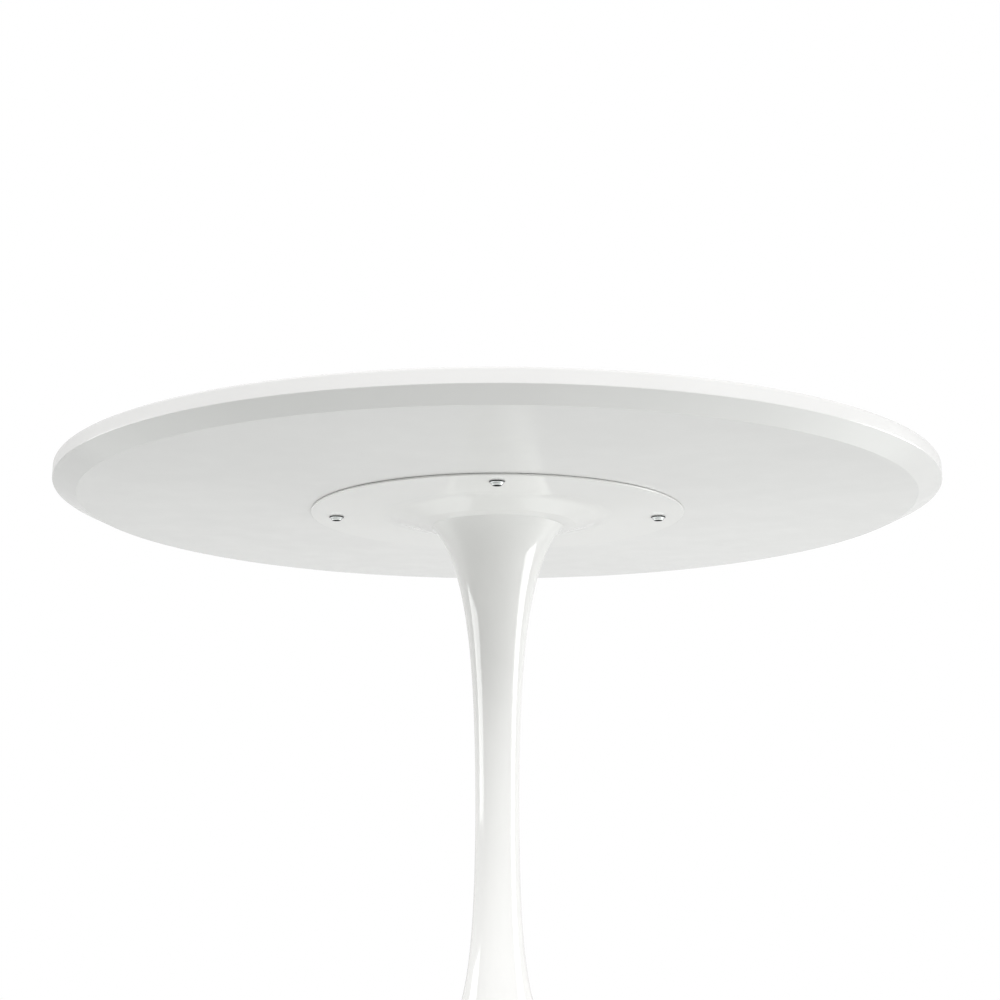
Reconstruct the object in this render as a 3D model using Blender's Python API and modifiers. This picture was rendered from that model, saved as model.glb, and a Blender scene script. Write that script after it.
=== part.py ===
"""Round pedestal table: a lacquered disc top on a trumpet-shaped metal pedestal.

A tie rod in the hollow pedestal clamps the top plate, the column, the foot and the cast base
weight together. Four screws hold the tabletop to the top plate, and four levelling glides carry
the foot. Metres, +Z up, origin on the floor under the middle of the table.
"""

from math import cos, exp, hypot, pi, radians, sin

import bmesh
import bpy
from mathutils import Matrix

GAP = 0.0003  # clearance between pieces that touch on the real table

# Tabletop
TABLE_HEIGHT = 0.750
TOP_RADIUS = 0.525
TOP_THICKNESS = 0.0285
TOP_EDGE_ROUND = 0.0025
BEVEL_HEIGHT = 0.0125
BEVEL_WIDTH = 0.0267
UNDERSIDE = TABLE_HEIGHT - TOP_THICKNESS

# Top plate: a flat disc with a raised centre that meets the column
PLATE_RADIUS = 0.227
PLATE_THICKNESS = 0.0025
PLATE_TOP = UNDERSIDE - GAP
PLATE_FACE = PLATE_TOP - PLATE_THICKNESS
BOSS_RADIUS = 0.132
BOSS_SHOULDER_RADIUS = 0.096
BOSS_SHOULDER_DROP = 0.0134  # below the tabletop's underside
SEAT_HEIGHT = 0.7060  # top of the column, which the raised centre stands on
SEAT_RADIUS = 0.0792
SPIGOT_DEPTH = 0.005
SPIGOT_WALL = 0.003

# Pedestal outline: the radius at a height is a waist plus a flare above and a flare below
WAIST_RADIUS = 0.0236
MOUTH_HEIGHT = 0.7015
UPPER_FLARES = ((0.0471, 0.0931), (0.0063, 0.0137))  # (added radius at the mouth, decay length)
RIM_HEIGHT = 0.020
LOWER_FLARES = ((0.095, 0.075), (0.157, 0.028))  # (added radius at the rim, decay length)
SEAM_HEIGHT = 0.130  # where the column stands on the foot
WALL = 0.003
MOUTH_BORE = 0.0715
SLEEVE_BORE = 0.0383
SLEEVE_REACH = 0.015  # up into the column
COLLAR_DEPTH = 0.012
RIM_ROUND = 0.005
RIM_BOTTOM = 0.0065

# Tie rod and its nuts, M10
ROD_RADIUS = 0.005
ROD_HOLE = 0.0054
NUT_HEIGHT = 0.008
NUT_FLATS = 0.016
WASHER_RADIUS = 0.015
WASHER_THICKNESS = 0.002

# Base weight and the cover under it
WEIGHT_RADIUS = 0.262
WEIGHT_TOP = 0.0295
WEIGHT_TOP_RADIUS = 0.200
WEIGHT_EDGE_TOP = 0.0180
NUT_POCKET_RADIUS = 0.024
NUT_POCKET_TOP = 0.022
COVER_RADIUS = 0.2745
COVER_BOTTOM = 0.0093
COVER_THICKNESS = 0.0015
WEIGHT_BOTTOM = COVER_BOTTOM + COVER_THICKNESS + GAP

# Fasteners
PLATE_SCREW_CIRCLE = 0.197
PLATE_SCREW_LENGTH = 0.015  # from the head's bearing face, M8
PLATE_SCREW_HEAD = 0.0044
PLATE_SCREW_HEAD_RADIUS = 0.0088
M8_RADIUS = 0.004
M8_HOLE = 0.0043
INSERT_RADIUS = 0.006
INSERT_LENGTH = 0.013
COVER_SCREW_CIRCLE = 0.150
COVER_SCREW_RADIUS = 0.002
COVER_SCREW_HEAD = 0.0022
COVER_SCREW_HEAD_RADIUS = 0.004
COVER_SCREW_LENGTH = 0.010

# Levelling glides, M8
GLIDE_CIRCLE = 0.225
PAD_RADIUS = 0.019
PAD_HEIGHT = 0.005
SOCKET_FLOOR = 0.002
SOCKET_RADIUS = 0.0055
STUD_FLATS = 0.013
STUD_COLLAR = 0.0034
BUSH_RADIUS = 0.008
BUSH_BOTTOM = PAD_HEIGHT + STUD_COLLAR + 2 * GAP
BUSH_TOP = 0.0230
STUD_TOP = 0.0225

# Facets round each turned piece
COARSE, MEDIUM, FINE, FINEST = 16, 32, 48, 72

FINISHES = {  # colour, metallic, roughness
    "white_lacquer": ((0.86, 0.87, 0.86), 0.0, 0.18),
    "white_coat": ((0.84, 0.86, 0.85), 0.0, 0.14),
    "chrome": ((0.80, 0.81, 0.82), 1.0, 0.08),
    "zinc_steel": ((0.62, 0.63, 0.65), 1.0, 0.32),
    "brass": ((0.78, 0.62, 0.30), 1.0, 0.28),
    "aluminium": ((0.72, 0.73, 0.75), 1.0, 0.35),
    "cast_iron": ((0.07, 0.07, 0.075), 0.7, 0.62),
    "black_plastic": ((0.03, 0.03, 0.032), 0.0, 0.48),
}


def clear_scene():
    """Removes whatever the scene holds."""
    for old in list(bpy.data.objects):
        bpy.data.objects.remove(old, do_unlink=True)


def new_collection(name):
    """A collection linked to the scene."""
    collection = bpy.data.collections.new(name)
    bpy.context.scene.collection.children.link(collection)
    return collection


def finish_material(name):
    """The Principled material of one finish, made once."""
    if name in bpy.data.materials:
        return bpy.data.materials[name]
    colour, metallic, roughness = FINISHES[name]
    material = bpy.data.materials.new(name)
    material.use_nodes = True
    shader = material.node_tree.nodes["Principled BSDF"]
    shader.inputs["Base Color"].default_value = (*colour, 1.0)
    shader.inputs["Metallic"].default_value = metallic
    shader.inputs["Roughness"].default_value = roughness
    material.diffuse_color = (*colour, 1.0)
    return material


def place(name, mesh, finish, location=(0, 0, 0), parent=None):
    """An object of the table, with its finish."""
    obj = bpy.data.objects.new(name, mesh)
    table.objects.link(obj)
    obj.location = location
    obj.parent = parent
    if not mesh.materials:
        mesh.materials.append(finish_material(finish))
    return obj


def applied(obj):
    """The object's mesh with its modifiers applied, shaded smooth up to 30 degrees. The object goes."""
    bpy.context.view_layer.update()
    graph = bpy.context.evaluated_depsgraph_get()
    mesh = bpy.data.meshes.new_from_object(obj.evaluated_get(graph))
    mesh.name = obj.name
    bpy.data.objects.remove(obj)
    mesh.shade_smooth()
    mesh.set_sharp_from_angle(angle=radians(30))
    return mesh


def turned(name, profile, facets, ring=False):
    """The mesh of a profile of (radius, height) points turned about Z.

    The points run from the axis along the top, down the outside and back along the bottom. A ring's
    profile is a closed loop in the same direction, which stays clear of the axis.
    """
    count = len(profile)
    edges = [(i, (i + 1) % count) for i in range(count if ring else count - 1)]
    outline = bpy.data.meshes.new(name)
    outline.from_pydata([(radius, 0, height) for radius, height in profile], edges, [])
    blank = bpy.data.objects.new(name, outline)
    table.objects.link(blank)
    turn = blank.modifiers.new("Turn", "SCREW")
    turn.axis = "Z"
    turn.angle = 2 * pi
    turn.screw_offset = 0
    turn.steps = facets
    turn.render_steps = facets
    turn.use_merge_vertices = True
    turn.merge_threshold = 0.00001
    return applied(blank)


def prisms(name, places, radius, bottom, top, sides):
    """A hidden tool of upright prisms, one at each (x, y), for the Booleans."""
    mesh = bpy.data.meshes.new(name)
    shape = bmesh.new()
    for x, y in places:
        middle = Matrix.Translation((x, y, (bottom + top) / 2))
        bmesh.ops.create_cone(
            shape, cap_ends=True, segments=sides, radius1=radius, radius2=radius,
            depth=top - bottom, matrix=middle,
        )
    shape.to_mesh(mesh)
    shape.free()
    tool = bpy.data.objects.new(name, mesh)
    tools.objects.link(tool)
    tool.hide_render = True
    tool.display_type = "WIRE"
    return tool


def combine(obj, tool, operation="DIFFERENCE"):
    """Cuts the tool from the object, or joins it on."""
    boolean = obj.modifiers.new(tool.name, "BOOLEAN")
    boolean.object = tool
    boolean.operation = operation
    boolean.solver = "EXACT"


def on_circle(radius, count, first=0.0):
    """Evenly spaced (x, y) places on a circle, the first at that angle from +X."""
    turns = [radians(first) + 2 * pi * i / count for i in range(count)]
    return [(radius * cos(turn), radius * sin(turn)) for turn in turns]


def arc(centre_radius, centre_height, radius, first, last, steps):
    """Profile points on an arc, from one angle to another in degrees above the outward radius."""
    angles = [radians(first + (last - first) * i / steps) for i in range(steps + 1)]
    return [(centre_radius + radius * cos(a), centre_height + radius * sin(a)) for a in angles]


def pedestal_radius(height):
    """The pedestal's outer radius at a height between its rim and its mouth."""
    upper = sum(added * exp((height - MOUTH_HEIGHT) / decay) for added, decay in UPPER_FLARES)
    lower = sum(added * exp((RIM_HEIGHT - height) / decay) for added, decay in LOWER_FLARES)
    return WAIST_RADIUS + upper + lower


def inside_wall(height):
    """The point of the pedestal's inner face behind the outer point at a height."""
    step = 0.0001
    slope = (pedestal_radius(height + step) - pedestal_radius(height - step)) / (2 * step)
    length = hypot(1, slope)
    return pedestal_radius(height) - WALL / length, height + WALL * slope / length


def flat_to_corner(flats):
    """A hexagon's corner radius from its width across flats."""
    return flats / 2 / cos(pi / 6)


def build_tabletop(screw_places):
    """The disc: a flat top, an upright edge band and a wide bevel underneath."""
    band_bottom = UNDERSIDE + BEVEL_HEIGHT
    corner = TOP_RADIUS - TOP_EDGE_ROUND
    profile = [(0, TABLE_HEIGHT)]
    profile += arc(corner, TABLE_HEIGHT - TOP_EDGE_ROUND, TOP_EDGE_ROUND, 90, 0, 2)
    profile += [(TOP_RADIUS, band_bottom), (TOP_RADIUS - BEVEL_WIDTH, UNDERSIDE), (0, UNDERSIDE)]
    tabletop = place("tabletop", turned("tabletop", profile, FINEST), "white_lacquer")
    depth = INSERT_LENGTH + 2 * GAP
    combine(tabletop, prisms("insert_holes", screw_places, INSERT_RADIUS + GAP,
                             UNDERSIDE - depth, UNDERSIDE + depth, 24))


def build_top_plate(screw_places):
    """The plate under the tabletop, dished towards the column, with a spigot in the column's mouth."""
    edge = PLATE_THICKNESS / 2
    shoulder = UNDERSIDE - BOSS_SHOULDER_DROP
    seat = SEAT_HEIGHT + GAP
    spigot = MOUTH_BORE - 2 * GAP
    dish_floor = seat + WALL
    profile = [(ROD_HOLE, dish_floor), (SEAT_RADIUS - WALL, dish_floor)]
    profile += [(BOSS_SHOULDER_RADIUS - 0.0009, shoulder + 0.0029), (BOSS_RADIUS - 0.0022, PLATE_TOP)]
    profile += arc(PLATE_RADIUS - edge, PLATE_TOP - edge, edge, 90, -90, 4)
    profile += [(BOSS_RADIUS + 0.002, PLATE_FACE), (BOSS_RADIUS - 0.002, PLATE_FACE - 0.0006)]
    profile += [(BOSS_SHOULDER_RADIUS + 0.002, shoulder + 0.0007)]
    profile += [(BOSS_SHOULDER_RADIUS - 0.003, shoulder - 0.0003)]
    profile += [(SEAT_RADIUS, seat), (spigot, seat), (spigot, SEAT_HEIGHT - SPIGOT_DEPTH)]
    profile += [(spigot - SPIGOT_WALL, SEAT_HEIGHT - SPIGOT_DEPTH), (spigot - SPIGOT_WALL, seat)]
    profile += [(ROD_HOLE, seat)]
    plate = place("top_plate", turned("top_plate", profile, FINE, ring=True), "white_coat")
    combine(plate, prisms("screw_holes", screw_places, M8_RADIUS + 0.0005,
                          PLATE_FACE - 0.005, PLATE_TOP + 0.005, COARSE))


def build_column():
    """The upper part of the pedestal: a hollow stem from the seam up to the flared mouth."""
    rows = 18
    middle = (MOUTH_HEIGHT + SEAM_HEIGHT) / 2
    reach = (MOUTH_HEIGHT - SEAM_HEIGHT) / 2
    heights = [middle + reach * cos(pi * row / rows) for row in range(rows + 1)]
    lip = [(SEAT_RADIUS - 0.0006, SEAT_HEIGHT), (SEAT_RADIUS, SEAT_HEIGHT - 0.0012)]
    outside = [(pedestal_radius(height), height) for height in heights]
    inside = [inside_wall(height) for height in heights[2:-3:2]]
    spigot_bottom = SEAT_HEIGHT - SPIGOT_DEPTH - 2 * GAP
    sleeve_top = SEAM_HEIGHT + SLEEVE_REACH + 2 * GAP
    bore = [(MOUTH_BORE, SEAT_HEIGHT), (MOUTH_BORE, spigot_bottom)] + inside
    bore += [(SLEEVE_BORE, sleeve_top), (SLEEVE_BORE, SEAM_HEIGHT)]
    profile = lip + outside + bore[::-1]
    place("column", turned("column", profile, MEDIUM, ring=True), "white_coat")


def build_foot():
    """The lower part of the pedestal: a bell that sweeps out to a rounded rim."""
    rows = 11
    foot_top = SEAM_HEIGHT - GAP
    rise = foot_top - RIM_HEIGHT
    heights = [RIM_HEIGHT + rise * (row / rows) ** 2 for row in range(rows, -1, -1)]
    outside = [(pedestal_radius(height), height) for height in heights]
    rim_centre = (pedestal_radius(RIM_HEIGHT) + 0.0007, RIM_HEIGHT - RIM_ROUND)
    rim = arc(*rim_centre, RIM_ROUND, 50, -10, 2)
    toe = rim[-1][0]
    rim += [(toe - 0.0006, RIM_BOTTOM + 0.001), (toe - 0.0016, RIM_BOTTOM)]
    rim += [(toe - WALL - 0.0006, RIM_BOTTOM), (toe - WALL - 0.0012, RIM_BOTTOM + 0.001)]
    collar = foot_top - COLLAR_DEPTH
    inside = [inside_wall(height) for height in heights[:-1:2]]
    inside = [point for point in inside if point[1] < collar - 0.002]
    under_collar = (inside_wall(collar)[0], collar)
    bore = [(SLEEVE_BORE, foot_top), (SLEEVE_BORE, collar), under_collar] + inside
    bore += [inside_wall(RIM_HEIGHT)]
    profile = outside + rim + bore[::-1]
    place("foot_shell", turned("foot_shell", profile, FINE, ring=True), "white_coat")


def build_joint_sleeve():
    """The ring inside the seam that keeps the column and the foot in line."""
    outer = SLEEVE_BORE - GAP
    inner = outer - 0.004
    top = SEAM_HEIGHT + SLEEVE_REACH
    bottom = SEAM_HEIGHT - COLLAR_DEPTH - GAP
    profile = [(inner, top), (outer, top), (outer, bottom), (inner, bottom)]
    mesh = turned("joint_sleeve", profile, MEDIUM, ring=True)
    place("joint_sleeve", mesh, "aluminium")


def build_tie_rod():
    """The rod through the pedestal, with a washer and a nut at each end."""
    upper_seat = SEAT_HEIGHT + GAP + WALL + GAP
    lower_seat = NUT_POCKET_TOP - GAP
    stack = WASHER_THICKNESS + GAP + NUT_HEIGHT
    top = upper_seat + stack + 0.0008
    bottom = WEIGHT_BOTTOM + GAP
    profile = [(0, top), (ROD_RADIUS, top), (ROD_RADIUS, bottom), (0, bottom)]
    place("tie_rod", turned("tie_rod", profile, COARSE), "zinc_steel")

    washer = [(ROD_HOLE, WASHER_THICKNESS), (WASHER_RADIUS, WASHER_THICKNESS)]
    washer += [(WASHER_RADIUS, 0), (ROD_HOLE, 0)]
    washer_mesh = turned("washer", washer, COARSE, ring=True)
    place("upper_washer", washer_mesh, "zinc_steel", (0, 0, upper_seat))
    place("lower_washer", washer_mesh, "zinc_steel", (0, 0, lower_seat - WASHER_THICKNESS))

    nut_mesh = hex_nut_mesh()
    place("upper_nut", nut_mesh, "zinc_steel", (0, 0, upper_seat + WASHER_THICKNESS + GAP))
    place("lower_nut", nut_mesh, "zinc_steel", (0, 0, lower_seat - stack))


def hex_nut_mesh():
    """A hexagon nut standing on Z = 0, bored for the tie rod."""
    corner = flat_to_corner(NUT_FLATS)
    profile = [(0, NUT_HEIGHT), (corner, NUT_HEIGHT), (corner, 0), (0, 0)]
    nut = bpy.data.objects.new("nut", turned("nut", profile, 6))
    table.objects.link(nut)
    combine(nut, prisms("nut_bore", [(0, 0)], ROD_HOLE, -NUT_HEIGHT, 2 * NUT_HEIGHT, COARSE))
    return applied(nut)


def build_base_weight(glide_places, cover_screw_places):
    """The cast disc that keeps the table upright, shaped to the inside of the foot."""
    profile = [(ROD_HOLE, WEIGHT_TOP), (WEIGHT_TOP_RADIUS, WEIGHT_TOP)]
    profile += [(WEIGHT_RADIUS, WEIGHT_EDGE_TOP), (WEIGHT_RADIUS, WEIGHT_BOTTOM)]
    profile += [(NUT_POCKET_RADIUS, WEIGHT_BOTTOM), (NUT_POCKET_RADIUS, NUT_POCKET_TOP)]
    profile += [(ROD_HOLE, NUT_POCKET_TOP)]
    weight = place("base_weight", turned("base_weight", profile, FINE, ring=True), "cast_iron")
    combine(weight, prisms("bush_holes", glide_places, BUSH_RADIUS + GAP, 0, 2 * WEIGHT_TOP, 24))
    hole_top = WEIGHT_BOTTOM + COVER_SCREW_LENGTH
    combine(weight, prisms("cover_screw_holes", cover_screw_places, COVER_SCREW_RADIUS + GAP,
                           0, hole_top, 12))


def build_base_cover(glide_places, cover_screw_places):
    """The thin disc that closes the foot from below."""
    top = COVER_BOTTOM + COVER_THICKNESS
    profile = [(0, top), (COVER_RADIUS, top), (COVER_RADIUS, COVER_BOTTOM), (0, COVER_BOTTOM)]
    cover = place("base_cover", turned("base_cover", profile, FINE), "black_plastic")
    combine(cover, prisms("cover_bush_holes", glide_places, BUSH_RADIUS + 2 * GAP, 0, 2 * top, 24))
    combine(cover, prisms("cover_clearance_holes", cover_screw_places,
                          COVER_SCREW_RADIUS + 2 * GAP, 0, 2 * top, 12))


def screw_mesh(name, head, head_radius, shank_radius, length, socket_flats):
    """A domed screw, its bearing face at Z = 0, its shank up along +Z and a hexagon socket below."""
    flange = 0.28 * head
    crown = 0.52 * head_radius
    profile = [(0, length), (shank_radius - 0.0005, length), (shank_radius, length - 0.0008)]
    profile += [(shank_radius, 0), (head_radius, 0), (head_radius, -flange)]
    profile += [(0.80 * head_radius, -0.62 * head), (crown, -head), (0, -head)]
    screw = bpy.data.objects.new(name, turned(name, profile, COARSE))
    table.objects.link(screw)
    socket = prisms(name + "_socket", [(0, 0)], flat_to_corner(socket_flats),
                    -2 * head, -0.4 * head, 6)
    combine(screw, socket)
    return applied(screw)


def threaded_ring(name, radius, length):
    """An M8 insert or bush standing on Z = 0."""
    return turned(name, [(M8_HOLE, length), (radius, length), (radius, 0), (M8_HOLE, 0)],
                  COARSE, ring=True)


def build_plate_fasteners(screw_places):
    """The screws through the top plate and the threaded inserts they go into."""
    screw = screw_mesh("plate_screw", PLATE_SCREW_HEAD, PLATE_SCREW_HEAD_RADIUS, M8_RADIUS,
                       PLATE_SCREW_LENGTH, 0.005)
    insert = threaded_ring("top_insert", INSERT_RADIUS, INSERT_LENGTH)
    for number, (x, y) in enumerate(screw_places, 1):
        place(f"plate_screw_{number}", screw, "chrome", (x, y, PLATE_FACE - GAP))
        place(f"top_insert_{number}", insert, "brass", (x, y, UNDERSIDE))


def build_cover_fasteners(cover_screw_places):
    """The small screws that hold the cover to the base weight."""
    screw = screw_mesh("cover_screw", COVER_SCREW_HEAD, COVER_SCREW_HEAD_RADIUS,
                       COVER_SCREW_RADIUS, COVER_SCREW_LENGTH, 0.0025)
    for number, (x, y) in enumerate(cover_screw_places, 1):
        place(f"cover_screw_{number}", screw, "zinc_steel", (x, y, COVER_BOTTOM - GAP))


def stud_mesh():
    """A glide's stud: a foot in the pad's socket, a hexagon collar and the thread above it."""
    foot = SOCKET_FLOOR + GAP
    collar = PAD_HEIGHT + GAP
    shoulder = collar + STUD_COLLAR
    neck = SOCKET_RADIUS - GAP
    profile = [(0, STUD_TOP), (M8_RADIUS - 0.0006, STUD_TOP), (M8_RADIUS, STUD_TOP - 0.0008)]
    profile += [(M8_RADIUS, shoulder - 0.001), (neck, collar + 0.001), (neck, foot), (0, foot)]
    stud = bpy.data.objects.new("glide_stud", turned("glide_stud", profile, COARSE))
    table.objects.link(stud)
    hexagon = prisms("stud_collar", [(0, 0)], flat_to_corner(STUD_FLATS), collar, shoulder, 6)
    combine(stud, hexagon, "UNION")
    return applied(stud)


def pad_mesh():
    """A glide's pad: a low disc with a round socket for the stud's foot."""
    profile = [(0, SOCKET_FLOOR), (SOCKET_RADIUS, SOCKET_FLOOR), (SOCKET_RADIUS, PAD_HEIGHT)]
    profile += [(PAD_RADIUS - 0.0045, PAD_HEIGHT), (PAD_RADIUS - 0.001, PAD_HEIGHT - 0.0018)]
    profile += [(PAD_RADIUS, 0.0014), (PAD_RADIUS - 0.0008, 0), (0, 0)]
    return turned("glide_pad", profile, 24)


def build_glides(glide_places):
    """The levelling glides: each has a fixed bush, a stud that turns in it and a pad on the floor."""
    bush = threaded_ring("glide_bush", BUSH_RADIUS, BUSH_TOP - BUSH_BOTTOM)
    stud = stud_mesh()
    pad = pad_mesh()
    for number, (x, y) in enumerate(glide_places, 1):
        place(f"glide_bush_{number}", bush, "brass", (x, y, BUSH_BOTTOM))
        pad_object = place(f"glide_pad_{number}", pad, "black_plastic", (x, y, 0))
        place(f"glide_stud_{number}", stud, "zinc_steel", parent=pad_object)


clear_scene()
table = new_collection("round_pedestal_table")
tools = new_collection("tools")
plate_screws = on_circle(PLATE_SCREW_CIRCLE, 4)
cover_screws = on_circle(COVER_SCREW_CIRCLE, 4)
glides = on_circle(GLIDE_CIRCLE, 4, first=45)
build_tabletop(plate_screws)
build_top_plate(plate_screws)
build_plate_fasteners(plate_screws)
build_column()
build_foot()
build_joint_sleeve()
build_tie_rod()
build_base_weight(glides, cover_screws)
build_base_cover(glides, cover_screws)
build_cover_fasteners(cover_screws)
build_glides(glides)
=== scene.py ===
"""Looks of the round pedestal table: fine meshes, materials, camera and studio light.

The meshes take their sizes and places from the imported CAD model. Metres, +Z up.
"""

from math import cos, exp, hypot, pi, radians, sin, tan

import bmesh
import bpy
from mathutils import Matrix, Vector


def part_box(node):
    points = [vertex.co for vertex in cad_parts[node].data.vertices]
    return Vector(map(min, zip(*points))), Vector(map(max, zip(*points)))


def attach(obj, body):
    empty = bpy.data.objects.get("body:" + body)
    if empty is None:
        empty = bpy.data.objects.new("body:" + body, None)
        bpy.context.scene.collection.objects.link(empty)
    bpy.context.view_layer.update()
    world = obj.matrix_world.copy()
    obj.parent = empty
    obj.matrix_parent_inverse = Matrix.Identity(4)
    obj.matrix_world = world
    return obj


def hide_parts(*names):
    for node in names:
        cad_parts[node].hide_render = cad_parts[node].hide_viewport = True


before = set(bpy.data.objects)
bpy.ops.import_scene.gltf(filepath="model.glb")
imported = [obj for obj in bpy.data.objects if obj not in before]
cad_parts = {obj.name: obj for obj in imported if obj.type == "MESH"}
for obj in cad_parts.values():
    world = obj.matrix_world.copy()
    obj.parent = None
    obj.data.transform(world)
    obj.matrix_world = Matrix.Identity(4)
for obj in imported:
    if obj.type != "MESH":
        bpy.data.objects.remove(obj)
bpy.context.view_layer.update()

# Facets round a turned piece, by its size
HUGE, LARGE, MIDDLE, SMALL = 360, 240, 72, 48

ROWS_A_PITCH = 8  # rows of a screw thread's mesh
SHARP_ANGLE = 32  # edges that turn by more degrees than this stay sharp
SLIVER = 0.00001  # drilled meshes lose edges shorter than this

# Pedestal outline, as the CAD model has it: a waist plus a flare above and a flare below
WAIST_RADIUS = 0.0236
MOUTH_HEIGHT = 0.7015
UPPER_FLARES = ((0.0471, 0.0931), (0.0063, 0.0137))
RIM_HEIGHT = 0.020
LOWER_FLARES = ((0.095, 0.075), (0.157, 0.028))
WALL = 0.003
MOUTH_BORE = 0.0715
MOUTH_DROP = 0.0013  # how far the boss reaches down over the column's seat
SLEEVE_BORE = 0.0383
SEAM_BREAK = 0.0004  # broken edges at the seam between the column and the foot

# Threads and holes
M8_RADIUS, M8_PITCH = 0.004, 0.00125
M10_PITCH = 0.0015
THREAD_DEPTH = 0.54  # of an outside thread, in pitches
ROD_HOLE = 0.0054

GAP = 0.0003  # clearance between pieces that touch
FOUR = (1, 2, 3, 4)  # the numbers of each set of screws, inserts and glides

# The floor as the camera sees it
FLOOR_SIDE = 60.0
FLOOR_COLOUR = (0.82, 0.83, 0.825)
WHITE_START, WHITE_FULL = 0.70, 1.15  # distance from the table's axis where it turns white

# The light that the floor throws on the table
FLOOR_BOUNCE = (0.349, 0.356, 0.348)
GLOW_LIGHT = 1.10
GLOW_COLOUR = (0.98, 1.0, 0.985)
GLOW_WAY = (0.28, 1, 0)  # the direction in which the glow grows
GLOW_START, GLOW_FULL = -1.3, 0.9
BACKDROP_LIGHT = 0.61
BACKDROP_START, BACKDROP_FULL = 0.6, 1.35  # distance behind the table where the lit backdrop begins
UNDER_LIGHT = 1.5
UNDER_RADIUS = 0.25

# Light from all round
AMBIENT_COLOUR = (1.0, 1.0, 0.995)
AMBIENT_LIGHT = 0.75

# Camera
LENS = 54.26
SENSOR_WIDTH = 36.0
CAMERA_PLACE = (0.0032, -1.8107, 0.3548)
CAMERA_LIFT = 12.0  # degrees that it looks up


# ---------------------------------------------------------------- places, from the frame

def low(node):
    """A CAD node's lowest corner."""
    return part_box(node)[0]


def high(node):
    """A CAD node's highest corner."""
    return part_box(node)[1]


def middle(node):
    """The (x, y) of a CAD node's middle."""
    centre = (low(node) + high(node)) / 2
    return centre.x, centre.y


# ---------------------------------------------------------------- outlines

def rounded(corners, steps=5):
    """An outline of (radius, height) points from (radius, height, fillet) corners, each fillet an arc."""
    outline = []
    last = len(corners) - 1
    for index, (radius, height, fillet) in enumerate(corners):
        here = Vector((radius, height))
        if fillet == 0 or index in (0, last):
            outline.append((radius, height))
            continue
        before = (Vector(corners[index - 1][:2]) - here).normalized()
        after = (Vector(corners[index + 1][:2]) - here).normalized()
        half = before.angle(after) / 2
        reach = fillet / tan(half)
        centre = here + (before + after).normalized() * (fillet / sin(half))
        start = here + before * reach - centre
        turn = start.angle_signed(here + after * reach - centre)
        for step in range(steps + 1):
            spoke = start.copy()
            spoke.rotate(Matrix.Rotation(-turn * step / steps, 2))
            outline.append(tuple(centre + spoke))
    return outline


def pedestal_radius(height):
    """The pedestal's outer radius at a height between its rim and its mouth."""
    upper = sum(added * exp((height - MOUTH_HEIGHT) / decay) for added, decay in UPPER_FLARES)
    lower = sum(added * exp((RIM_HEIGHT - height) / decay) for added, decay in LOWER_FLARES)
    return WAIST_RADIUS + upper + lower


def inside_wall(height):
    """The point of the pedestal's inner face behind the outer point at a height."""
    step = 0.0001
    slope = (pedestal_radius(height + step) - pedestal_radius(height - step)) / (2 * step)
    length = hypot(1, slope)
    return pedestal_radius(height) - WALL / length, height + WALL * slope / length


def hexagon(flats):
    """The radius at an angle of a hexagon of a width across flats."""
    return lambda turn: flats / 2 / cos((turn + pi / 6) % (pi / 3) - pi / 6)


def hexagonal(flats, blank):
    """The radius at an angle of a round blank cut to a hexagon."""
    side = hexagon(flats)
    return lambda turn: min(blank, side(turn))


def thread_ridge(root, depth, phase):
    """The radius at an angle of one row of a screw thread."""
    return lambda turn: root + depth * min(1, max(0, 0.5 + 0.8 * cos(phase - turn)))


def thread(root, depth, pitch, start, end):
    """Outline rows of a right-hand thread between two heights, which fades out at both ends."""
    count = round(ROWS_A_PITCH * abs(end - start) / pitch)
    rows = []
    for step in range(count + 1):
        height = start + (end - start) * step / count
        fade = min(1, step / ROWS_A_PITCH, (count - step) / ROWS_A_PITCH)
        rows.append((thread_ridge(root, depth * fade, 2 * pi * height / pitch), height))
    return rows


# ---------------------------------------------------------------- meshes

def turned(name, outline, facets, ring=False):
    """A mesh turned about Z from (radius, height) points that run along the top, down the outside and back.

    A radius may also be a function of the angle. A ring's outline closes on itself. Otherwise both
    ends lie on the axis.
    """
    shape = bmesh.new()
    turns = [2 * pi * i / facets for i in range(facets)]
    rows = []
    for radius, height in outline:
        if radius == 0:
            rows.append([shape.verts.new((0, 0, height))])
            continue
        spokes = [(t, radius(t) if callable(radius) else radius) for t in turns]
        rows.append([shape.verts.new((reach * cos(t), reach * sin(t), height)) for t, reach in spokes])
    pairs = list(zip(rows, rows[1:]))
    if ring:
        pairs.append((rows[-1], rows[0]))
    for upper, lower in pairs:
        for i in range(facets):
            j = (i + 1) % facets
            if len(upper) == 1:
                shape.faces.new((upper[0], lower[i], lower[j]))
            elif len(lower) == 1:
                shape.faces.new((upper[i], lower[0], upper[j]))
            else:
                shape.faces.new((upper[i], lower[i], lower[j], upper[j]))
    mesh = bpy.data.meshes.new(name)
    shape.to_mesh(mesh)
    shape.free()
    return mesh


def shade(mesh):
    """Smooth shading that keeps sharp edges."""
    mesh.shade_smooth()
    mesh.set_sharp_from_angle(angle=radians(SHARP_ANGLE))


def weigh_normals(obj):
    """Keeps large flat faces flat where they run into small fillets."""
    weighted = obj.modifiers.new("Weighted normals", "WEIGHTED_NORMAL")
    weighted.keep_sharp = True
    weighted.weight = 50


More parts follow.
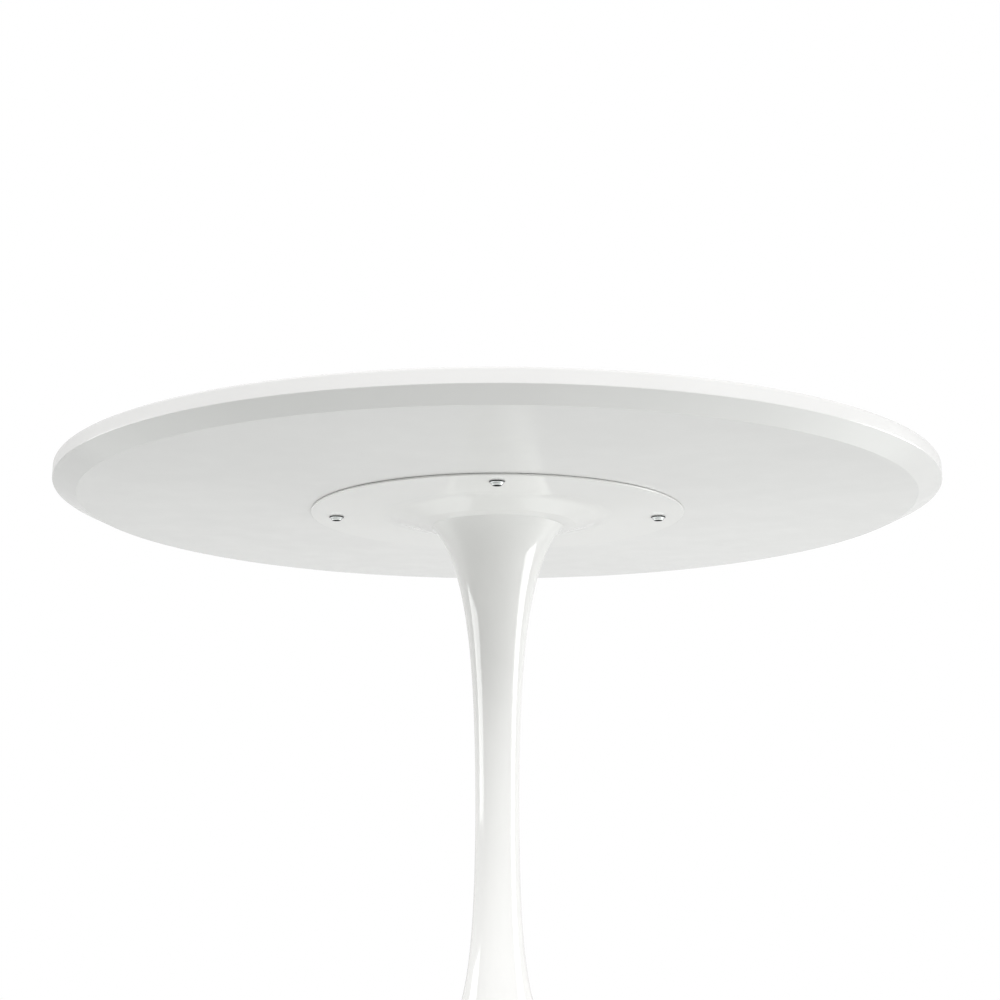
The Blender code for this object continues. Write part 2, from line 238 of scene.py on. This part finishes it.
def drilled(mesh, places, radius, bottom, top):
    """The mesh with an upright round hole at each (x, y)."""
    cutter = bpy.data.meshes.new("cutter")
    shape = bmesh.new()
    for x, y in places:
        bmesh.ops.create_cone(
            shape, cap_ends=True, segments=SMALL, radius1=radius, radius2=radius,
            depth=top - bottom, matrix=Matrix.Translation((x, y, (bottom + top) / 2)),
        )
    shape.to_mesh(cutter)
    shape.free()
    blank = bpy.data.objects.new("blank", mesh)
    tool = bpy.data.objects.new("tool", cutter)
    for obj in (blank, tool):
        bpy.context.scene.collection.objects.link(obj)
    boolean = blank.modifiers.new("Holes", "BOOLEAN")
    boolean.object = tool
    boolean.solver = "EXACT"
    bpy.context.view_layer.update()
    graph = bpy.context.evaluated_depsgraph_get()
    result = bpy.data.meshes.new_from_object(blank.evaluated_get(graph))
    result.name = mesh.name
    for obj in (blank, tool):
        bpy.data.objects.remove(obj)
    shape = bmesh.new()
    shape.from_mesh(result)
    bmesh.ops.remove_doubles(shape, verts=shape.verts, dist=SLIVER)
    bmesh.ops.dissolve_degenerate(shape, edges=shape.edges, dist=SLIVER)
    shape.to_mesh(result)
    shape.free()
    return result


def piece(name, mesh, material, body, replaces, location=(0, 0, 0), weigh=True):
    """A visible piece that stands for CAD nodes and rides on their body."""
    obj = bpy.data.objects.new(name, mesh)
    bpy.context.scene.collection.objects.link(obj)
    obj.location = location
    shade(mesh)
    if weigh:
        weigh_normals(obj)
    if not mesh.materials:
        mesh.materials.append(material)
    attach(obj, body)
    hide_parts(*replaces)


# ---------------------------------------------------------------- materials

class Look:
    """A Principled material and short calls that add procedural nodes to it."""

    def __init__(self, name, colour, roughness, metallic=0.0):
        self.material = bpy.data.materials.new(name)
        self.material.use_nodes = True
        self.nodes = self.material.node_tree.nodes
        self.links = self.material.node_tree.links
        self.shader = self.nodes["Principled BSDF"]
        self.shader.inputs["Base Color"].default_value = (*colour, 1)
        self.shader.inputs["Roughness"].default_value = roughness
        self.shader.inputs["Metallic"].default_value = metallic
        self.coordinates = self.node("ShaderNodeTexCoord").outputs["Object"]

    def node(self, kind):
        """A new node."""
        return self.nodes.new(kind)

    def noise(self, scale, detail=2.0, roughness=0.5, stretch=(1, 1, 1)):
        """A noise of that many features a metre, from 0 to 1."""
        mapping = self.node("ShaderNodeMapping")
        mapping.inputs["Scale"].default_value = stretch
        self.links.new(self.coordinates, mapping.inputs["Vector"])
        texture = self.node("ShaderNodeTexNoise")
        texture.inputs["Scale"].default_value = scale
        texture.inputs["Detail"].default_value = detail
        texture.inputs["Roughness"].default_value = roughness
        self.links.new(mapping.outputs["Vector"], texture.inputs["Vector"])
        return texture.outputs["Fac"]

    def ramp(self, value, start, end):
        """A colour ramp over a value, from one (position, colour) stop to another."""
        ramp = self.node("ShaderNodeValToRGB")
        for element, (position, colour) in zip(ramp.color_ramp.elements, (start, end)):
            element.position = position
            element.color = (*colour, 1)
        self.links.new(value, ramp.inputs["Fac"])
        return ramp.outputs["Color"]

    def mixed(self, share, first, second):
        """Two shaders mixed by the share of the second."""
        mix = self.node("ShaderNodeMixShader")
        self.links.new(share, mix.inputs["Fac"])
        self.links.new(first, mix.inputs[1])
        self.links.new(second, mix.inputs[2])
        return mix.outputs["Shader"]

    def spread(self, value, start, end, first=0.0, last=1.0):
        """A value that runs from first to last, spread between two others."""
        spread = self.node("ShaderNodeMapRange")
        spread.inputs["From Min"].default_value = first
        spread.inputs["From Max"].default_value = last
        spread.inputs["To Min"].default_value = start
        spread.inputs["To Max"].default_value = end
        self.links.new(value, spread.inputs["Value"])
        return spread.outputs["Result"]

    def set(self, socket, output):
        """Drives one of the shader's sockets."""
        self.links.new(output, self.shader.inputs[socket])

    def bump(self, *layers):
        """Surface relief from (height value, depth in metres) layers, one over another."""
        normal = None
        for value, depth in layers:
            bump = self.node("ShaderNodeBump")
            bump.inputs["Strength"].default_value = 1.0
            bump.inputs["Distance"].default_value = depth
            self.links.new(value, bump.inputs["Height"])
            if normal:
                self.links.new(normal, bump.inputs["Normal"])
            normal = bump.outputs["Normal"]
        self.links.new(normal, self.shader.inputs["Normal"])


def gloss_paint(name, colour, gloss, peel):
    """Sprayed gloss paint: a smooth clear face with faint orange peel and slight shade and gloss drift."""
    look = Look(name, colour, gloss)
    light = [min(1, c * 1.012) for c in colour]
    dark = [c * 0.985 for c in colour]
    look.set("Base Color", look.ramp(look.noise(9, 4), (0.3, dark), (0.7, light)))
    look.set("Roughness", look.spread(look.noise(26, 5), gloss * 0.7, gloss * 1.3))
    look.bump((look.noise(170, 1), peel), (look.noise(900, 2), peel * 0.12))
    look.shader.inputs["IOR"].default_value = 1.52
    return look.material


def polished_metal(name, colour, roughness):
    """Plated metal with a fine drift in its polish and hairline scratches."""
    look = Look(name, colour, roughness, metallic=1.0)
    look.set("Roughness", look.spread(look.noise(700, 4), roughness * 0.5, roughness * 1.6))
    dark = [c * 0.9 for c in colour]
    look.set("Base Color", look.ramp(look.noise(420, 3), (0.35, dark), (0.6, colour)))
    look.bump((look.noise(2600, 2, stretch=(1, 6, 1)), 0.000002))
    return look.material


def cast_metal(name, colour, roughness):
    """Painted casting: a pitted skin with worn, slightly shinier patches."""
    look = Look(name, colour, roughness, metallic=0.6)
    patches = look.noise(60, 5, 0.6)
    worn = [c * 1.7 for c in colour]
    look.set("Base Color", look.ramp(patches, (0.42, colour), (0.68, worn)))
    look.set("Roughness", look.spread(patches, roughness * 1.2, roughness * 0.75))
    look.bump((look.noise(420, 4, 0.6), 0.0005), (look.noise(1800, 3), 0.00015))
    return look.material


def moulded_plastic(name, colour, roughness):
    """Moulded plastic with a fine grained skin."""
    look = Look(name, colour, roughness)
    light = [c * 1.35 for c in colour]
    look.set("Base Color", look.ramp(look.noise(90, 4), (0.35, colour), (0.7, light)))
    look.set("Roughness", look.spread(look.noise(400, 3), roughness * 0.85, roughness * 1.15))
    look.bump((look.noise(1500, 2), 0.00012))
    look.shader.inputs["IOR"].default_value = 1.49
    return look.material


def make_materials():
    """Every finish of the table: the record's slots, and the screws' near-black skin, which is painted shade
    in their sockets and a painted dark reflection on their flanges' edges.
    """
    return {
        "white_lacquer": gloss_paint("white_lacquer", (0.82, 0.815, 0.81), 0.20, 0.000006),
        "white_coat": gloss_paint("white_coat", (0.885, 0.88, 0.87), 0.06, 0.000010),
        "chrome": polished_metal("chrome", (0.80, 0.82, 0.82), 0.07),
        "zinc_steel": polished_metal("zinc_steel", (0.62, 0.63, 0.66), 0.28),
        "brass": polished_metal("brass", (0.76, 0.60, 0.30), 0.24),
        "aluminium": polished_metal("aluminium", (0.72, 0.73, 0.75), 0.30),
        "cast_iron": cast_metal("cast_iron", (0.055, 0.055, 0.06), 0.55),
        "black_plastic": moulded_plastic("black_plastic", (0.024, 0.024, 0.026), 0.42),
        # socket: near-black painted shade for the inside of the screw sockets, and a painted dark reflection
        # round the flanges' edges
        "socket": polished_metal("socket", (0.02, 0.02, 0.022), 0.45),
    }


# ---------------------------------------------------------------- pieces

def make_tabletop(material):
    """The disc: flat top, upright edge band, wide bevel underneath and holes for the inserts."""
    top, bottom, radius = high("tabletop").z, low("tabletop").z, high("tabletop").x
    bevel_width, bevel_height, bevel_round = 0.0267, 0.0125, 0.0012
    edge_round = 0.0025
    # The rings on the two flat faces keep their triangles short
    corners = [(0, top, 0), (0.2, top, 0), (0.42, top, 0), (radius, top, edge_round)]
    corners += [(radius, bottom + bevel_height, bevel_round)]
    corners += [(radius - bevel_width, bottom, bevel_round)]
    corners += [(0.36, bottom, 0), (0.15, bottom, 0), (0, bottom, 0)]
    mesh = turned("tabletop", rounded(corners), HUGE)
    insert = high("top_insert_1") - low("top_insert_1")
    places = [middle(f"top_insert_{number}") for number in FOUR]
    mesh = drilled(mesh, places, insert.x / 2 + GAP, bottom - insert.z, bottom + insert.z + GAP)
    piece("tabletop_lacquered", mesh, material, "root", ["tabletop"])


def make_top_plate(material):
    """The mounting plate with its raised centre and four screw holes."""
    top, radius = high("top_plate").z, high("top_plate").x
    thickness, edge_round = 0.0025, 0.0011
    face = top - thickness
    boss, shoulder_radius = 0.132, 0.096
    shoulder = low("tabletop").z - 0.0134
    seat = high("column").z + GAP
    floor = seat + WALL
    mouth = seat - MOUTH_DROP
    mouth_radius = pedestal_radius(mouth) + 0.0002
    spigot = MOUTH_BORE - 2 * GAP
    spigot_end = low("top_plate").z
    corners = [(ROD_HOLE, floor, 0), (mouth_radius - WALL, floor, 0.004)]
    corners += [(shoulder_radius - 0.0009, shoulder + 0.0029, 0.006), (boss - 0.0022, top, 0.004)]
    corners += [(radius, top, edge_round), (radius, face, edge_round), (boss, face, 0.07)]
    corners += [(shoulder_radius, shoulder, 0.012), (mouth_radius, mouth, 0)]
    corners += [(spigot, mouth, 0), (spigot, spigot_end, 0.0005)]
    corners += [(spigot - WALL, spigot_end, 0.0005), (spigot - WALL, seat, 0.001)]
    corners += [(ROD_HOLE, seat, 0)]
    mesh = turned("top_plate", rounded(corners), LARGE, ring=True)
    places = [middle(f"plate_screw_{number}") for number in FOUR]
    screw_hole = 0.0045
    mesh = drilled(mesh, places, screw_hole, face - WALL, top + WALL)
    piece("top_plate_coated", mesh, material, "root", ["top_plate"])


def make_column(material):
    """The stem, from the seam to the mouth, which the top plate stands on."""
    mouth = high("column").z + 0.8 * GAP - MOUTH_DROP
    seam = low("column").z
    rows = 150
    reach = mouth - seam
    heights = [seam + reach * (1 + cos(pi * row / rows)) / 2 for row in range(rows + 1)]
    outline = [(MOUTH_BORE, mouth)] + [(pedestal_radius(height), height) for height in heights]
    seam_radius = outline[-1][0]
    outline[-1:] = [(seam_radius, seam + SEAM_BREAK), (seam_radius - SEAM_BREAK, seam)]
    inside = [inside_wall(height) for height in heights[24:-24:6]]
    sleeve_end = seam + 0.0156
    spigot_bottom = mouth - 0.0036
    outline += [(SLEEVE_BORE, seam), (SLEEVE_BORE, sleeve_end)] + inside[::-1]
    outline += [(MOUTH_BORE, spigot_bottom)]
    mesh = turned("column", outline, LARGE, ring=True)
    piece("column_coated", mesh, material, "root", ["column"])


def make_foot(material):
    """The bell of the foot, from the seam to its rounded rim."""
    top, bottom = high("foot_shell").z, low("foot_shell").z
    rows = 110
    rise = top - RIM_HEIGHT
    heights = [RIM_HEIGHT + rise * (1 - row / rows) ** 2 for row in range(rows + 1)]
    outside = [(pedestal_radius(height), height) for height in heights]
    seam_radius = outside[0][0]
    outside[0:1] = [(seam_radius - SEAM_BREAK, top), (seam_radius, top - SEAM_BREAK)]
    toe = high("foot_shell").x
    rim = rounded([(pedestal_radius(RIM_HEIGHT), RIM_HEIGHT, 0), (toe, RIM_HEIGHT - 0.0008, 0.0048),
                   (toe, bottom, 0.0012), (toe - WALL, bottom, 0.0008), (toe - WALL, 0.012, 0)], 10)
    inside = [inside_wall(height) for height in heights[8::6]]
    collar_end = top - 0.012
    inside = [point for point in inside if point[1] < collar_end - 0.002]
    outline = outside[:-1] + rim + inside[::-1]
    outline += [(inside_wall(collar_end)[0], collar_end), (SLEEVE_BORE, collar_end), (SLEEVE_BORE, top)]
    mesh = turned("foot_shell", outline, LARGE, ring=True)
    piece("foot_shell_coated", mesh, material, "root", ["foot_shell"], weigh=False)


def screw_mesh(name, head, head_radius, shank_radius, length, flats, pitch, facets, plating_and_painted_shade):
    """A flanged button-head screw: bearing face at Z = 0, shank up, hexagon socket below.

    The two skins are the plating and a near-black one: painted shade inside the socket and a painted dark
    reflection round the flange's edge.
    """
    depth = THREAD_DEPTH * pitch
    root = shank_radius - depth
    outline = [(0, length), (root - 0.2 * pitch, length)]
    outline += thread(root, depth, pitch, length - 0.3 * pitch, 0.5 * pitch)
    crown = [(root, 0, 0), (head_radius, 0, 0.08 * head), (head_radius, -0.28 * head, 0.06 * head)]
    crown += [(0.84 * head_radius, -0.38 * head, 0.15 * head)]
    crown += [(0.74 * head_radius, -0.80 * head, 0.40 * head)]
    mouth = 0.57 * head_radius
    crown += [(0.62 * head_radius, -head, 0.06 * head), (mouth, -head, 0)]
    outline += rounded(crown)
    outline += [(hexagon(flats), -0.84 * head), (hexagon(flats), -0.44 * head)]
    outline += [(hexagon(0.94 * flats), -0.40 * head), (0, -0.28 * head)]
    mesh = turned(name, outline, facets)
    for skin in plating_and_painted_shade:
        mesh.materials.append(skin)
    # Painted shade and reflection: faces inside the socket and round the flange's edge take the near-black
    # second skin
    for face in mesh.polygons:
        centre = face.center
        reach = hypot(centre.x, centre.y)
        if centre.z < 0 and (reach < mouth or reach > 0.985 * head_radius):
            face.material_index = 1
    return mesh


def make_plate_screws(material, socket):
    """The four bright screws that hold the top plate to the tabletop."""
    box = high("plate_screw_1") - low("plate_screw_1")
    head, flats = 0.0044, 0.005
    # The second skin is painted shade in the sockets and a painted dark reflection on the flanges' edges
    mesh = screw_mesh("plate_screw", head, box.x / 2, M8_RADIUS, box.z - head, flats, M8_PITCH, MIDDLE,
                      (material, socket))
    for number in FOUR:
        node = f"plate_screw_{number}"
        place = (*middle(node), low(node).z + head)
        piece(f"{node}_chromed", mesh, material, "root", [node], place)


def make_inserts(material):
    """The threaded inserts in the tabletop that the plate screws go into."""
    box = high("top_insert_1") - low("top_insert_1")
    length, radius = box.z, box.x / 2
    coarse, depth = 0.0025, 0.0011  # pitch and depth of the thread outside
    bore, bore_depth, mouth = 0.0041, 0.0005, 0.0047
    collar = 0.0015
    outline = thread(radius - depth, depth, coarse, length - 0.0004, collar + 0.0004)
    outline += [(radius - depth, collar), (radius, collar), (radius, 0), (mouth, 0)]
    outline += thread(bore, bore_depth, M8_PITCH, 0.0006, length - 0.0006) + [(mouth, length)]
    mesh = turned("top_insert", outline, SMALL, ring=True)
    for number in FOUR:
        node = f"top_insert_{number}"
        place = (*middle(node), low(node).z)
        piece(f"{node}_threaded", mesh, material, "root", [node], place)


def make_sleeve(material):
    """The ring inside the seam between the column and the foot."""
    top, bottom, radius = high("joint_sleeve").z, low("joint_sleeve").z, high("joint_sleeve").x
    bore = radius - 0.004
    between = (bore + radius) / 2
    corners = [(between, top, 0), (radius, top, 0.0008), (radius, bottom, 0.0008)]
    corners += [(bore, bottom, 0.0005), (bore, top, 0.0005), (between - 0.0005, top, 0)]
    mesh = turned("joint_sleeve", rounded(corners, 3), LARGE, ring=True)
    piece("joint_sleeve_turned", mesh, material, "root", ["joint_sleeve"])


def make_tie_rod(material):
    """The rod that clamps the pedestal together, threaded at both ends."""
    top, bottom, radius = high("tie_rod").z, low("tie_rod").z, high("tie_rod").x
    pitch, depth, run = M10_PITCH, 0.0008, 0.045
    root = radius - depth
    end = 0.3 * pitch
    outline = [(0, top), (root - end, top)]
    outline += thread(root, depth, pitch, top - end, top - run)
    outline += [(radius - 0.0001, top - run - 0.001), (radius - 0.0001, bottom + run + 0.001)]
    outline += thread(root, depth, pitch, bottom + run, bottom + end)
    outline += [(root - end, bottom), (0, bottom)]
    mesh = turned("tie_rod", outline, SMALL)
    piece("tie_rod_threaded", mesh, material, "root", ["tie_rod"])


def nut_mesh(name, flats, height, bore, depth, pitch):
    """A hexagon nut standing on Z = 0, chamfered at both faces and threaded inside."""
    outline = hexagon_rim(flats, 0, height)
    outline += [(bore + 1.3 * depth, 0)]
    outline += thread(bore, depth, pitch, 0.3 * pitch, height - 0.3 * pitch)
    outline += [(bore + 1.3 * depth, height)]
    return turned(name, outline, MIDDLE, ring=True)


def hexagon_rim(flats, bottom, top):
    """Outline rows down the outside of a hexagon with both its corners chamfered at 30 degrees."""
    corner = flats / 2 / cos(pi / 6)
    face = 0.475 * flats
    steps = 5
    radii = [face + (corner - face) * step / steps for step in range(steps + 1)]
    upper = [(hexagonal(flats, radius), top - (radius - face) * tan(pi / 6)) for radius in radii]
    lower = [(hexagonal(flats, radius), bottom + (radius - face) * tan(pi / 6)) for radius in radii]
    return upper + lower[::-1]


def make_rod_ends(material):
    """The washer and the nut at each end of the tie rod."""
    bore, radius = ROD_HOLE, high("upper_washer").x
    thickness = high("upper_washer").z - low("upper_washer").z
    corners = [(bore + 0.003, thickness, 0), (radius, thickness, 0.0006), (radius, 0, 0.0002)]
    corners += [(bore, 0, 0.0002), (bore, thickness, 0.0004), (bore + 0.002, thickness, 0)]
    washer = turned("washer", rounded(corners, 3), MIDDLE, ring=True)
    height = high("upper_nut").z - low("upper_nut").z
    flats, nut_bore, depth = 0.016, 0.0051, 0.0006
    nut = nut_mesh("nut", flats, height, nut_bore, depth, M10_PITCH)
    for end in ("upper", "lower"):
        for kind, mesh in (("washer", washer), ("nut", nut)):
            node = f"{end}_{kind}"
            place = (0, 0, low(node).z)
            piece(f"{node}_plated", mesh, material, "root", [node], place)


def make_base_weight(material):
    """The cast disc in the foot, with holes for the glides' bushes and for the cover's screws."""
    top, bottom, radius = high("base_weight").z, low("base_weight").z, high("base_weight").x
    pocket, pocket_top = 0.024, low("lower_washer").z + 0.0023
    flat, edge_top = 0.200, 0.0180
    groove = top - 0.002
    corners = [(ROD_HOLE, top, 0), (0.030, top, 0.002), (0.033, groove, 0.002)]
    corners += [(0.060, groove, 0.002), (0.063, top, 0.002), (flat, top, 0.006)]
    corners += [(radius, edge_top, 0.003), (radius, bottom, 0.0015), (pocket, bottom, 0.001)]
    corners += [(pocket, pocket_top, 0.001), (ROD_HOLE, pocket_top, 0)]
    mesh = turned("base_weight", rounded(corners), LARGE, ring=True)
    bush = high("glide_bush_1") - low("glide_bush_1")
    glides = [middle(f"glide_bush_{number}") for number in FOUR]
    mesh = drilled(mesh, glides, bush.x / 2 + GAP, 0, 2 * top)
    screws = [middle(f"cover_screw_{number}") for number in FOUR]
    mesh = drilled(mesh, screws, 0.0023, 0, bottom + 0.010)
    piece("base_weight_cast", mesh, material, "root", ["base_weight"])


def make_base_cover(material):
    """The disc that closes the foot from below, stiffened by two pressed rings."""
    top, bottom, radius = high("base_cover").z, low("base_cover").z, high("base_cover").x
    sheet = top - bottom
    press = 0.0009
    rise, half = 0.0025, 0.004
    levels = [(0, 0, 0)]
    for ring in (0.095, 0.250):
        levels += [(ring - half - rise, 0, 0.003), (ring - half, press, 0.003)]
        levels += [(ring + half, press, 0.003), (ring + half + rise, 0, 0.003)]
    upper = [(reach, top - drop, fillet) for reach, drop, fillet in levels]
    lower = [(reach, bottom - drop, fillet) for reach, drop, fillet in reversed(levels)]
    edge = [(radius, top, 0.4 * sheet), (radius, bottom, 0.4 * sheet)]
    mesh = turned("base_cover", rounded(upper + edge + lower), LARGE)
    glides = [middle(f"glide_bush_{number}") for number in FOUR]
    bush = high("glide_bush_1") - low("glide_bush_1")
    mesh = drilled(mesh, glides, bush.x / 2 + 2 * GAP, 0, 2 * top)
    screws = [middle(f"cover_screw_{number}") for number in FOUR]
    mesh = drilled(mesh, screws, 0.0026, 0, 2 * top)
    piece("base_cover_pressed", mesh, material, "root", ["base_cover"])


def make_cover_screws(material, socket):
    """The four small screws that hold the cover to the base weight."""
    box = high("cover_screw_1") - low("cover_screw_1")
    head, flats = 0.0022, 0.0025
    shank, pitch = 0.002, 0.0007
    # The second skin is painted shade in the sockets and a painted dark reflection on the flanges' edges
    mesh = screw_mesh("cover_screw", head, box.x / 2, shank, box.z - head, flats, pitch, SMALL,
                      (material, socket))
    for number in FOUR:
        node = f"cover_screw_{number}"
        place = (*middle(node), low(node).z + head)
        piece(f"{node}_plated", mesh, material, "root", [node], place)


def make_glides(finishes):
    """The levelling glides: bushes fixed in the weight, studs that turn in them and pads."""
    bush, stud, pad = glide_meshes()
    for number in FOUR:
        node = f"glide_bush_{number}"
        place = (*middle(node), low(node).z)
        piece(f"{node}_threaded", bush, finishes["brass"], "root", [node], place)
        place = (*middle(node), 0)
        node = f"glide_stud_{number}"
        piece(f"{node}_threaded", stud, finishes["zinc_steel"], node, [node], place)
        node = f"glide_pad_{number}"
        piece(f"{node}_moulded", pad, finishes["black_plastic"], node, [node], place)


def glide_meshes():
    """A glide's bush on Z = 0, and its stud and pad as they stand on the floor."""
    bore, mouth, bore_depth = 0.0042, 0.0049, 0.0005
    box = high("glide_bush_1") - low("glide_bush_1")
    radius, length = box.x / 2, box.z
    outer = rounded([(mouth, length, 0), (radius, length, 0.0006), (radius, 0, 0.0004), (mouth, 0, 0)])
    inner = thread(bore, bore_depth, M8_PITCH, 0.0006, length - 0.0006)
    bush = turned("glide_bush", outer + inner, SMALL, ring=True)

    stud_top, foot = high("glide_stud_1").z, low("glide_stud_1").z
    depth = THREAD_DEPTH * M8_PITCH
    root = M8_RADIUS - depth
    collar_bottom, collar_top, flats = 0.0053, 0.0087, 0.013
    outline = [(0, stud_top), (root - 0.0003, stud_top)]
    outline += thread(root, depth, M8_PITCH, stud_top - 0.0004, collar_top + 0.0006)
    outline += [(root, collar_top + 0.0003), (root + 0.0003, collar_top)]
    outline += hexagon_rim(flats, collar_bottom, collar_top)
    outline += rounded([(0.0050, collar_bottom, 0), (0.0042, collar_bottom - 0.0004, 0.0003),
                        (0.0042, 0.0045, 0.0003), (0.0051, 0.0040, 0.0004),
                        (0.0051, foot, 0.0009), (0, foot, 0)])
    stud = turned("glide_stud", outline, MIDDLE)

    top, reach = high("glide_pad_1").z, (high("glide_pad_1").x - low("glide_pad_1").x) / 2
    socket, floor = 0.0055, 0.0020
    corners = [(0, floor, 0), (socket, floor, 0.0008), (socket, top, 0.0004), (0.0095, top, 0.0004)]
    corners += [(0.0102, top - 0.0006, 0.0003), (0.0118, top - 0.0006, 0.0003)]
    corners += [(0.0125, top, 0.0004), (reach - 0.0045, top, 0.0020), (reach - 0.0008, 0.0030, 0.0015)]
    corners += [(reach, 0.0013, 0.0006), (reach - 0.0008, 0, 0.0005), (0.0160, 0, 0.0003)]
    corners += [(0.0155, 0.0005, 0.0002), (0.0060, 0.0005, 0.0002), (0.0055, 0.0009, 0.0002), (0, 0.0009, 0)]
    pad = turned("glide_pad", rounded(corners), MIDDLE)
    return bush, stud, pad


# ---------------------------------------------------------------- studio

def make_floor():
    """A plain pale floor that runs into white, see-through from below.

    What the camera sees and what lights the table are kept apart: the table gets a weak bounce, a glow
    that grows towards the back, the lit backdrop, and light under the foot for the views from below.
    """
    mesh = bpy.data.meshes.new("floor")
    shape = bmesh.new()
    bmesh.ops.create_grid(shape, x_segments=8, y_segments=8, size=FLOOR_SIDE / 2)
    shape.to_mesh(mesh)
    shape.free()
    floor = bpy.data.objects.new("floor", mesh)
    floor.location.z = -0.0002
    bpy.context.scene.collection.objects.link(floor)
    look = Look("floor", FLOOR_COLOUR, 0.6)
    look.shader.inputs["Specular IOR Level"].default_value = 0.15
    place = look.node("ShaderNodeSeparateXYZ")
    look.links.new(look.coordinates, place.inputs["Vector"])
    reach = look.node("ShaderNodeVectorMath")
    reach.operation = "LENGTH"
    look.links.new(look.coordinates, reach.inputs[0])

    white = look.node("ShaderNodeEmission").outputs["Emission"]
    edge = look.spread(reach.outputs["Value"], 0, 1, WHITE_START, WHITE_FULL)
    shown = look.mixed(edge, look.shader.outputs["BSDF"], white)

    bounce = look.node("ShaderNodeBsdfDiffuse")
    bounce.inputs["Color"].default_value = (*FLOOR_BOUNCE, 1)
    glow = look.node("ShaderNodeEmission")
    glow.inputs["Color"].default_value = (*GLOW_COLOUR, 1)
    along = look.node("ShaderNodeVectorMath")
    along.operation = "DOT_PRODUCT"
    look.links.new(look.coordinates, along.inputs[0])
    along.inputs[1].default_value = GLOW_WAY
    growth = look.spread(along.outputs["Value"], 0, GLOW_LIGHT, GLOW_START, GLOW_FULL)
    look.links.new(growth, glow.inputs["Strength"])
    near = look.node("ShaderNodeAddShader")
    look.links.new(bounce.outputs["BSDF"], near.inputs[0])
    look.links.new(glow.outputs["Emission"], near.inputs[1])
    backdrop = look.node("ShaderNodeEmission")
    backdrop.inputs["Strength"].default_value = BACKDROP_LIGHT
    behind = look.spread(place.outputs["Y"], 0, 1, BACKDROP_START, BACKDROP_FULL)
    unseen = look.mixed(behind, near.outputs["Shader"], backdrop.outputs["Emission"])
    under = look.node("ShaderNodeEmission")
    under.inputs["Strength"].default_value = UNDER_LIGHT
    foot = look.spread(reach.outputs["Value"], 1, 0, UNDER_RADIUS, UNDER_RADIUS + 0.01)
    unseen = look.mixed(foot, unseen, under.outputs["Emission"])

    seen = look.node("ShaderNodeLightPath").outputs["Is Camera Ray"]
    top = look.mixed(seen, unseen, shown)
    through = look.node("ShaderNodeBsdfTransparent").outputs["BSDF"]
    surface = look.mixed(look.node("ShaderNodeNewGeometry").outputs["Backfacing"], top, through)
    look.links.new(surface, look.nodes["Material Output"].inputs["Surface"])
    mesh.materials.append(look.material)


def make_world():
    """A white studio: pure white behind the object, and soft even light on it."""
    world = bpy.data.worlds.new("studio")
    bpy.context.scene.world = world
    world.use_nodes = True
    nodes, links = world.node_tree.nodes, world.node_tree.links
    light = nodes["Background"]
    light.inputs["Color"].default_value = (*AMBIENT_COLOUR, 1)
    light.inputs["Strength"].default_value = AMBIENT_LIGHT
    white = nodes.new("ShaderNodeBackground")
    white.inputs["Color"].default_value = (1, 1, 1, 1)
    choose = nodes.new("ShaderNodeMixShader")
    links.new(nodes.new("ShaderNodeLightPath").outputs["Is Camera Ray"], choose.inputs["Fac"])
    links.new(light.outputs["Background"], choose.inputs[1])
    links.new(white.outputs["Background"], choose.inputs[2])
    links.new(choose.outputs["Shader"], nodes["World Output"].inputs["Surface"])


def make_softbox(name, location, target, size, radiance, reflected=True, lights=True):
    """A rectangular softbox that the camera doesn't see, by the radiance of its face.

    It can be left out of the reflections, or be there for the reflections only.
    """
    light = bpy.data.lights.new(name, "AREA")
    light.shape = "RECTANGLE"
    light.size, light.size_y = size
    light.energy = radiance * pi * size[0] * size[1]
    obj = bpy.data.objects.new(name, light)
    bpy.context.scene.collection.objects.link(obj)
    obj.location = location
    aim = Vector(target) - Vector(location)
    obj.rotation_euler = aim.to_track_quat("-Z", "Y").to_euler()
    obj.visible_camera = False
    obj.visible_glossy = reflected
    obj.visible_diffuse = lights


def make_lights():
    """Strips at both sides for the reflections, and soft light from the front, the right and the back."""
    make_softbox("right_strip", (1.23, 0, 0.545), (0, 0, 0.545), (0.58, 0.75), 5.0, lights=False)
    make_softbox("left_strip", (-2.0, 0, 0.71), (0, 0, 0.71), (1.06, 0.70), 4.6, lights=False)
    make_softbox("right_fill", (1.7, -1.3, 0.5), (0, 0, 0.5), (1.0, 2.2), 1.95, reflected=False)
    make_softbox("front_left", (-1.6, -2.3, 2.3), (0, 0, 0.7), (1.2, 1.2), 5.1, reflected=False)
    make_softbox("front_middle", (0, -2.6, 2.2), (0, 0, 0.7), (1.4, 1.2), 3.2, reflected=False)
    make_softbox("back_left", (-1.6, 1.5, 0.5), (0, 0, 0.5), (0.8, 1.0), 3.6, reflected=False)
    make_softbox("back_right", (1.6, 1.5, 0.5), (0, 0, 0.5), (0.8, 1.0), 4.2, reflected=False)


def make_camera():
    """A camera below the tabletop, looking up at its underside."""
    camera = bpy.data.cameras.new("camera")
    camera.lens = LENS
    camera.sensor_width = SENSOR_WIDTH
    obj = bpy.data.objects.new("camera", camera)
    bpy.context.scene.collection.objects.link(obj)
    obj.location = CAMERA_PLACE
    obj.rotation_euler = (radians(90 + CAMERA_LIFT), 0, 0)
    bpy.context.scene.camera = obj


make_camera()
finishes = make_materials()
make_tabletop(finishes["white_lacquer"])
make_top_plate(finishes["white_coat"])
make_column(finishes["white_coat"])
make_foot(finishes["white_coat"])
make_plate_screws(finishes["chrome"], finishes["socket"])
make_inserts(finishes["brass"])
make_sleeve(finishes["aluminium"])
make_tie_rod(finishes["zinc_steel"])
make_rod_ends(finishes["zinc_steel"])
make_base_weight(finishes["cast_iron"])
make_base_cover(finishes["black_plastic"])
make_cover_screws(finishes["zinc_steel"], finishes["socket"])
make_glides(finishes)
make_floor()
make_world()
make_lights()
bpy.context.scene.view_settings.view_transform = "Standard"
